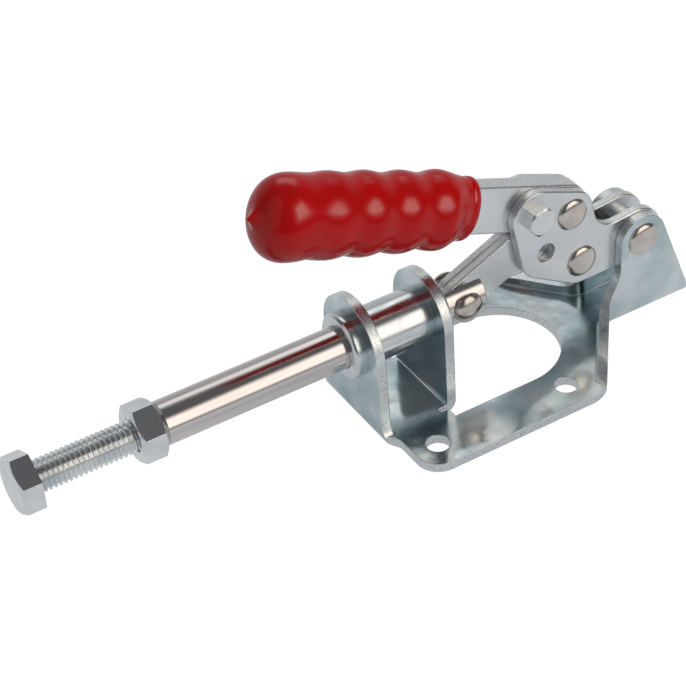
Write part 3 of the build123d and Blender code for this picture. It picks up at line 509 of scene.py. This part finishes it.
def bolt_head(shoulder):
    """The plain bolt, cut off just past its shoulder and closed, with flat faces."""
    shape = bmesh.new()
    shape.from_mesh(nodes["spindle_bolt"].data)
    bmesh.ops.remove_doubles(shape, verts=shape.verts, dist=MERGE_DISTANCE)
    cut = bmesh.ops.bisect_plane(shape, geom=shape.verts[:] + shape.edges[:] + shape.faces[:],
                                 plane_co=(shoulder + HEAD_STUB, 0, 0), plane_no=(1, 0, 0), clear_outer=True)
    bmesh.ops.holes_fill(shape, edges=[e for e in cut["geom_cut"] if isinstance(e, bmesh.types.BMEdge)])
    for face in shape.faces:
        face.smooth = False
    return shape


def threaded_shank(length, finish):
    """The threaded shank, along Z, with its middle at the origin."""
    return grown_mesh("spindle_shank", thread_tree(), {
        "Crest Radius": SHANK_RADIUS, "Depth": THREAD_DEPTH, "Pitch": THREAD_PITCH,
        "Crest Share": THREAD_CREST_SHARE, "Length": length, "Tip Chamfer": TIP_CHAMFER,
        "Rings": round(length / THREAD_PITCH * RINGS_PER_PITCH), "Points Round": POINTS_ROUND_SHANK,
        "Finish": finish})


def threaded_bolt(finish):
    """The spindle bolt: the head of the plain bolt, joined to a threaded shank."""
    low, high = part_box("spindle_bolt")
    axis = Vector((0, (low.y + high.y) / 2, (low.z + high.z) / 2))
    on_shank = [v.co.x for v in nodes["spindle_bolt"].data.vertices
                if abs((v.co - axis).yz.length - SHANK_RADIUS) < RADIUS_TOLERANCE]
    shoulder, tip = min(on_shank), high.x
    shank = threaded_shank(tip - shoulder, finish)
    middle = Matrix.Translation(((shoulder + tip) / 2, axis.y, axis.z))
    shank.transform(middle @ Matrix.Rotation(pi / 2, 4, "Y"))
    bolt = bolt_head(shoulder)
    bolt.from_mesh(shank)
    piece = new_piece("threaded_spindle", shape_mesh("threaded_spindle", bolt, finish))
    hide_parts("spindle_bolt")
    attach(piece, "spindle")


# ------------------------------------------------------------------ grip
def smooth_step(value):
    """Rises from 0 to 1 with level ends."""
    value = min(1.0, max(0.0, value))
    return value * value * (3 - 2 * value)


def between(pair, other, share):
    """A pair of sizes that is pair at share 0 and other at share 1."""
    return [a + (b - a) * share for a, b in zip(pair, other)]


def skin_size(along):
    """Half height and half width of the skin, before the valleys between the finger bulges."""
    if along < LIP_CREASE:
        rim = min(1.0, (along - GRIP_MOUTH) / RIM_ROUNDING)
        return between(MOUTH_RIM, LIP_SIZE, sqrt(1 - (1 - rim) ** 2))
    swell = smooth_step((along - LIP_CREASE) / (FIRST_CREST - LIP_CREASE))
    grow = smooth_step((along - FIRST_CREST) / (BULGES_TO_FULL * GRIP_PITCH))
    return between(LIP_SIZE, between(FIRST_BULGE, FULL_BULGE, grow), swell)


def valley(along, up):
    """Depth of the skin below its crests: a soft wave on top, a tight cusp underneath."""
    if along < FIRST_CREST or along > LAST_CREST:
        return CREASE_DEPTH * max(0.0, 1 - abs(along - LIP_CREASE) / CREASE_HALF_WIDTH)
    step = (along - FIRST_CREST) / GRIP_PITCH
    fading = 1 - VALLEY_LOSS * smooth_step((step - FADING_FROM) / FADING_OVER)
    wave = 0.5 - 0.5 * cos(2 * pi * step)
    cusp = 1 - abs(cos(pi * step))
    under = smooth_step(-UNDERSIDE_SPREAD * up)
    return fading * (VALLEY_TOP * wave * (1 - under) + VALLEY_UNDER * cusp * under)


def skin_point(along, turn):
    """Height and width of the grip's skin at one turn of a ring; turn 0 is the top."""
    up, side = cos(turn), sin(turn)
    height, width = skin_size(along)
    inset = valley(along, up)
    if along > LAST_CREST:
        share = (along - LAST_CREST) / (BULB_END - LAST_CREST)
        round_off = max(0.0, 1 - share ** BULB_BLUNTNESS) ** (1 / BULB_BLUNTNESS)
        height, width = height * round_off, width * round_off
    return (height - inset) * up, (width - inset) * side


def drip(radius):
    """How far the vinyl's hanging drop is drawn out past the bulb, at a distance from its axis."""
    return DRIP_LENGTH * max(0.0, 1 - radius / DRIP_RADIUS) ** DRIP_SHARPNESS


def pocket_point(share, turn):
    """Height and width on the square pocket at share 0, and on the mouth's oval rim at share 1."""
    up, side = cos(turn), sin(turn)
    lean = max(abs(up), abs(side))
    wall = (POCKET_SIZE[0] * up / lean, POCKET_SIZE[1] * side / lean)
    rim = (MOUTH_RIM[0] * up, MOUTH_RIM[1] * side)
    return between(wall, rim, share)


def skin_stations():
    """Where the skin's rings stand: tight at the lip, then even, then closing in on the bulb's end."""
    stations = [GRIP_MOUTH + behind for behind in LIP_RINGS]
    while stations[-1] < LAST_CREST - GRIP_RING_STEP:
        stations.append(stations[-1] + GRIP_RING_STEP)
    bulb = BULB_END - LAST_CREST
    return stations + [LAST_CREST + bulb * sin(pi / 2 * k / BULB_RINGS) for k in range(BULB_RINGS)]


def lofted(rings):
    """A closed, smooth shape over rings of equally many points."""
    shape = bmesh.new()
    made = [[shape.verts.new(point) for point in ring] for ring in rings]
    for first, second in zip(made, made[1:]):
        for k in range(len(first)):
            after = (k + 1) % len(first)
            shape.faces.new((first[k], first[after], second[after], second[k]))
    shape.faces.new(made[-1])
    shape.faces.new(list(reversed(made[0])))
    bmesh.ops.recalc_face_normals(shape, faces=shape.faces[:])
    for face in shape.faces:
        face.smooth = True
    return shape


def dipped_grip(finish):
    """Skin of the vinyl grip, lofted ring by ring from the pocket's mouth to the drip at its tip."""
    rivet_low, rivet_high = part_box("handle_rivet")
    rivet = (rivet_low + rivet_high) / 2
    tip = max(nodes["handle_grip"].data.vertices, key=lambda v: (v.co - rivet).length).co
    way = Vector((tip.x - rivet.x, 0, tip.z - rivet.z - GRIP_LIFT)).normalized()
    lift = Vector((way.z, 0, -way.x))
    start = Vector((rivet.x, 0, rivet.z)) + lift * GRIP_LIFT

    def place(along, height, width):
        """A point in the scene; the grip's middle sags a little towards the bulb."""
        share = (along - GRIP_MOUTH) / (LAST_CREST - GRIP_MOUTH)
        sag = SAG_AT_MOUTH + (SAG_AT_BULB - SAG_AT_MOUTH) * share
        return start + way * along + lift * (height - sag) + Vector((0, width, 0))

    turns = [2 * pi * k / GRIP_POINTS_ROUND for k in range(GRIP_POINTS_ROUND)]
    rings = [[place(GRIP_MOUTH + depth, *pocket_point(share, turn)) for turn in turns]
             for depth, share in POCKET_RINGS]
    for along in skin_stations():
        ring = [skin_point(along, turn) for turn in turns]
        drawn = drip(ring[0][0]) if along > LAST_CREST else 0.0
        rings.append([place(along + drawn, *point) for point in ring])
    for radius in DRIP_RINGS:
        end = BULB_END + drip(radius)
        rings.append([place(end, radius * cos(turn), radius * sin(turn)) for turn in turns])
    piece = new_piece("dipped_grip", shape_mesh("dipped_grip", lofted(rings), finish))
    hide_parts("handle_grip")
    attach(piece, "handle")
    return piece


# ------------------------------------------------------------------ finishes on the steel pieces
def finish_nodes():
    """Gives every node its steel finish, and returns the one that the fasteners wear."""
    plate = plate_zinc()
    uprights_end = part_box("guide_tube")[1].x
    ears_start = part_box("pivot_rivet")[0].x - EAR_REACH
    base = base_zinc(uprights_end, ears_start)
    tube = smooth_zinc("tube_zinc", bright=(0.78, 0.79, 0.79, 1), tint=(0.58, 0.66, 0.69, 1),
                       smooth=0.16, dull=0.27)
    bar = polished_bar()
    fastener = smooth_zinc("fastener_zinc", bright=(0.80, 0.81, 0.81, 1), tint=(0.62, 0.66, 0.69, 1),
                           smooth=0.10, dull=0.20)
    rivets = rivet_steel()
    finishes = {"base_frame": base, "guide_tube": tube, "plunger": bar}
    for name in ("lock_nut", "spindle_bolt", "handle_screw", "handle_screw_nut", "handle_screw_washer",
                 "pivot_bush"):
        finishes[name] = fastener
    for name, node in nodes.items():
        node.data.materials.clear()
        node.data.materials.append(rivets if "rivet" in name else finishes.get(name, plate))
    return fastener


# ------------------------------------------------------------------ studio
def by_ray(tree, seen, for_gloss, for_others, for_camera):
    """One shader for glossy rays, one for the camera's own and one for the rest."""
    glossy = calc(tree, "MAXIMUM", seen["Is Glossy Ray"], seen["Is Transmission Ray"])
    unseen = put(tree, "ShaderNodeMixShader", {0: glossy, 1: for_others.outputs[0], 2: for_gloss.outputs[0]})
    mixed = put(tree, "ShaderNodeMixShader", {
        0: seen["Is Camera Ray"], 1: unseen.outputs[0], 2: for_camera.outputs[0]})
    return mixed.outputs[0]


def studio_floor():
    """White paper; polished metal sees it grey, with a painted shadow close to the clamp and painted shade
    towards the front.
    """
    mesh = bpy.data.meshes.new("studio_floor")
    corners = ((-1, -1), (1, -1), (1, 1), (-1, 1))
    mesh.from_pydata([(x * FLOOR_HALF, y * FLOOR_HALF, -FLOOR_DROP) for x, y in corners],
                     [], [(0, 1, 2, 3)])
    floor = new_piece("studio_floor", mesh)
    material = bpy.data.materials.new("studio_floor")
    material.use_nodes = True
    tree = material.node_tree
    tree.nodes.clear()
    paper = put(tree, "ShaderNodeBsdfDiffuse", {"Color": PAPER_TONE})
    seen = put(tree, "ShaderNodeLightPath").outputs
    # the paper keeps a little of the object's shadow under the glow
    glow = put(tree, "ShaderNodeEmission", {"Color": (1, 1, 1, 1), "Strength": PAPER_GLOW})
    lit = put(tree, "ShaderNodeMixShader", {0: GLOW_SHARE, 1: paper.outputs[0], 2: glow.outputs[0]})
    place = put(tree, "ShaderNodeTexCoord").outputs["Object"]
    at = split(tree, place)
    away = put(tree, "ShaderNodeVectorMath", {0: place}, operation="LENGTH").outputs["Value"]
    # painted shadow of the clamp close to the holes' centre, and painted shade towards the front, in the
    # paper as polished metal sees it
    near = spread(tree, away, *PAINTED_SHADOW_NEAR)
    front = spread(tree, at["Y"], *PAINTED_SHADE_FRONT)
    strength = calc(tree, "MULTIPLY", calc(tree, "MULTIPLY", near, front), FLOOR_GLOSS)
    gloss_with_painted_shadow = put(tree, "ShaderNodeEmission", {"Color": GLOSS_TONE, "Strength": strength})
    put(tree, "ShaderNodeOutputMaterial", {"Surface": by_ray(tree, seen, gloss_with_painted_shadow, paper, lit)})
    mesh.materials.append(material)


def softbox(name, azimuth, elevation, size, radiance, colour, lit_piece):
    """A rectangular lamp on a sphere about the clamp, turned to face it, that lights one piece."""
    light = bpy.data.lights.new(name, "AREA")
    light.shape = "RECTANGLE"
    light.size, light.size_y = size
    light.energy = radiance * pi * size[0] * size[1]
    light.color = colour
    lamp = bpy.data.objects.new(name, light)
    around, up = radians(azimuth), radians(elevation)
    back = Vector((sin(around) * cos(up), -cos(around) * cos(up), sin(up)))
    lamp.location = back * LAMP_DISTANCE
    lamp.rotation_euler = back.to_track_quat("Z", "Y").to_euler()
    bpy.context.scene.collection.objects.link(lamp)
    lit = bpy.data.collections.new(name)
    lit.objects.link(lit_piece)
    lamp.light_linking.receiver_collection = lit


def panel_share(tree, angles, middle, half, border):
    """1 inside a rectangle of directions, fading to 0 across its border."""
    shares = []
    for angle, centre, reach, soft in zip(angles, middle, half, border):
        off = calc(tree, "WRAP", calc(tree, "SUBTRACT", angle, centre), 180.0, -180.0)
        off = calc(tree, "ABSOLUTE", off)
        shares.append(spread(tree, off, reach - soft, reach + soft, 1.0, 0.0))
    return calc(tree, "MULTIPLY", *shares)


def studio_world():
    """White to the camera, even light on the vinyl and the paper, and the tent to polished metal."""
    world = bpy.data.worlds.new("studio")
    bpy.context.scene.world = world
    world.use_nodes = True
    tree = world.node_tree
    tree.nodes.clear()
    seen = put(tree, "ShaderNodeLightPath").outputs
    at = split(tree, put(tree, "ShaderNodeTexCoord").outputs["Generated"])
    # azimuth 0 looks out over the clamp's near side, along -Y, and 90 past its handle, along +X
    forward = calc(tree, "MULTIPLY", at["Y"], -1.0)
    azimuth = calc(tree, "DEGREES", calc(tree, "ARCTAN2", at["X"], forward))
    elevation = calc(tree, "DEGREES", calc(tree, "ARCSINE", at["Z"]))
    tone = blend_tones(tree, spread(tree, elevation, *ROOF_LINE), TENT_WALLS, TENT_ROOF)
    for middle, half, border, colour in TENT_PANELS:
        share = panel_share(tree, (azimuth, elevation), middle, half, border)
        tone = blend_tones(tree, share, tone, colour)
    tent = put(tree, "ShaderNodeBackground", {"Color": tone, "Strength": 1.0})
    even = put(tree, "ShaderNodeBackground", {"Color": (1, 1, 1, 1), "Strength": AMBIENT})
    white = put(tree, "ShaderNodeBackground", {"Color": (1, 1, 1, 1), "Strength": 1.0})
    put(tree, "ShaderNodeOutputWorld", {"Surface": by_ray(tree, seen, tent, even, white)})


def studio_camera():
    """A long lens above the front, turned by azimuth, elevation and a small roll."""
    lens = bpy.data.cameras.new("camera")
    lens.lens = CAMERA_LENS
    lens.sensor_width = SENSOR_WIDTH
    lens.clip_start, lens.clip_end = 0.01, 20.0
    camera = bpy.data.objects.new("camera", lens)
    around = Matrix.Rotation(radians(CAMERA_AZIMUTH), 4, "Z")
    tilt = Matrix.Rotation(radians(90 - CAMERA_ELEVATION), 4, "X")
    roll = Matrix.Rotation(radians(CAMERA_ROLL), 4, "Z")
    camera.matrix_world = Matrix.Translation(CAMERA_PLACE) @ around @ tilt @ roll
    bpy.context.scene.collection.objects.link(camera)
    bpy.context.scene.camera = camera


fastener_finish = finish_nodes()
threaded_bolt(fastener_finish)
grip = dipped_grip(dipped_vinyl())
studio_floor()
studio_world()
softbox("front_softbox", azimuth=22, elevation=27, size=(0.62, 0.62), radiance=4.0,
        colour=(1.0, 0.97, 0.94), lit_piece=grip)
softbox("far_softbox", azimuth=152, elevation=49, size=(0.8, 0.5), radiance=1.6,
        colour=(0.97, 0.99, 1.0), lit_piece=grip)
studio_camera()
bpy.context.scene.view_settings.view_transform = "Standard"
